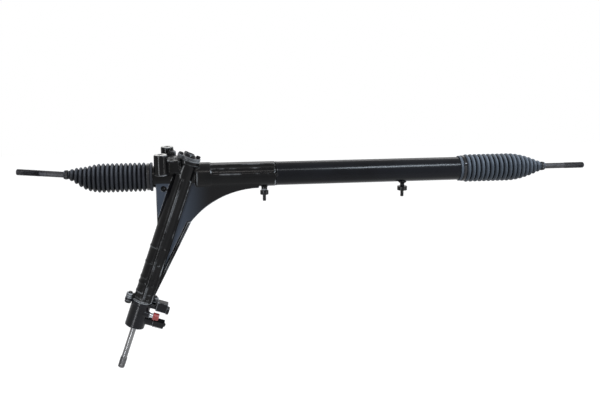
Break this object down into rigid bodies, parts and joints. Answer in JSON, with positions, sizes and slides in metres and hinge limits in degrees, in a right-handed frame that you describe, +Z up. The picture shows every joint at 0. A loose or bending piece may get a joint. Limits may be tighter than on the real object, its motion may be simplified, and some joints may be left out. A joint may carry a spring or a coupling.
{
  "type": "power steering rack",
  "caption": "Power steering rack with slanted pinion tower, cylinder tube, sliding rack bar, bellows boots and ball-jointed tie rods.",
  "frame": {"origin": "midway between the two mounting holes, on their bolt-up faces", "axes": "+X along the rack towards its long right end, +Z up out of the bolt-up faces, so -Y is the side of the pinion tower's web that the picture shows"},
  "size_m": [1.3146, 0.1402, 0.5058],
  "materials": {
    "black_paint": "gloss black paint",
    "cast_paint": "satin black paint on a casting",
    "steel": "machined steel",
    "dark_steel": "phosphated steel",
    "zinc": "zinc plated",
    "rubber": "dark grey bellows rubber",
    "seal": "black seal rubber",
    "black_plastic": "black plastic",
    "red_plastic": "red plastic cap",
    "white_plastic": "natural acetal",
    "ptfe": "filled seal-ring plastic",
    "bronze": "sintered bronze",
    "paper": "gasket sheet"
  },
  "bodies": {
    "housing": {"rack_housing": "cast_paint", "cylinder_tube": "black_paint", "valve_housing": "cast_paint", "valve_housing_bolts": "dark_steel", "valve_housing_gasket": "paper", "tower_end_cover": "cast_paint", "tower_cover_bolts": "dark_steel", "tower_cover_gasket": "paper", "pinion_tail_bearing": "steel", "pinion_needle_bearing": "steel", "valve_bearing": "steel", "input_shaft_seal": "seal", "input_dust_cover": "black_plastic", "rack_yoke": "bronze", "yoke_spring": "steel", "yoke_plug": "dark_steel", "yoke_locknut": "dark_steel", "inner_rack_seal": "seal", "inner_seal_retainer": "white_plastic", "outer_rack_seal": "seal", "outer_seal_carrier": "steel", "rack_bush": "white_plastic", "bush_retaining_ring": "dark_steel", "left_port_plug": "black_plastic", "right_port_boss": "black_paint", "right_port_plug": "black_plastic", "upper_port_plug": "black_plastic", "lower_port_plug": "black_plastic", "short_pipe": "zinc", "short_pipe_cap": "red_plastic", "left_boot": "rubber", "right_boot": "rubber", "left_boot_clamp": "dark_steel", "right_boot_clamp": "dark_steel"},
    "rack": {"rack_bar": "steel", "piston": "steel", "piston_ring": "ptfe", "piston_clips": "dark_steel", "left_ball_socket": "steel", "right_ball_socket": "steel", "left_ball_seat": "white_plastic", "right_ball_seat": "white_plastic", "left_lock_washer": "steel", "right_lock_washer": "steel"},
    "left_swing": {"left_boot_small_clamp": "zinc"},
    "right_swing": {"right_boot_small_clamp": "zinc"},
    "left_rod": {"left_tie_rod": "dark_steel"},
    "right_rod": {"right_tie_rod": "dark_steel"},
    "pinion_body": {"pinion": "steel", "pinion_nut": "steel", "valve_sleeve": "steel", "sleeve_rings": "ptfe", "torsion_bar": "steel", "torsion_bar_pin": "steel"},
    "input_body": {"input_shaft": "steel"}
  },
  "joints": [
    {"name": "rack_slide", "type": "slide", "parent": "housing", "child": "rack", "axis": [1, 0, 0], "range_m": [-0.065, 0.065], "deforming": ["left_boot", "right_boot"]},
    {"name": "left_rod_swing", "type": "hinge", "parent": "rack", "child": "left_swing", "pos_m": [-0.102, 0, -0.059], "axis": [0, 1, 0], "range_deg": [-23, 13]},
    {"name": "right_rod_swing", "type": "hinge", "parent": "rack", "child": "right_swing", "pos_m": [0.781, 0, -0.059], "axis": [0, 1, 0], "range_deg": [-18, 18]},
    {"name": "left_rod_spin", "type": "hinge", "parent": "left_swing", "child": "left_rod", "pos_m": [-0.102, 0, -0.059], "axis": [-0.9962, 0, 0.0872], "continuous": true},
    {"name": "right_rod_spin", "type": "hinge", "parent": "right_swing", "child": "right_rod", "pos_m": [0.781, 0, -0.059], "axis": [1, 0, 0], "continuous": true},
    {"name": "pinion_turn", "type": "hinge", "parent": "housing", "child": "pinion_body", "pos_m": [0.0395, -0.017, -0.059], "axis": [0.3322, 0, 0.9432], "range_deg": [-466, 466]},
    {"name": "input_twist", "type": "hinge", "parent": "pinion_body", "child": "input_body", "pos_m": [0.0395, -0.017, -0.059], "axis": [0.3322, 0, 0.9432], "range_deg": [-5, 5], "stiffness_Nm_per_rad": 115}
  ],
  "couplings": [
    {"joint": "pinion_turn", "follows": "rack_slide", "rad_per_m": -125}
  ]
}
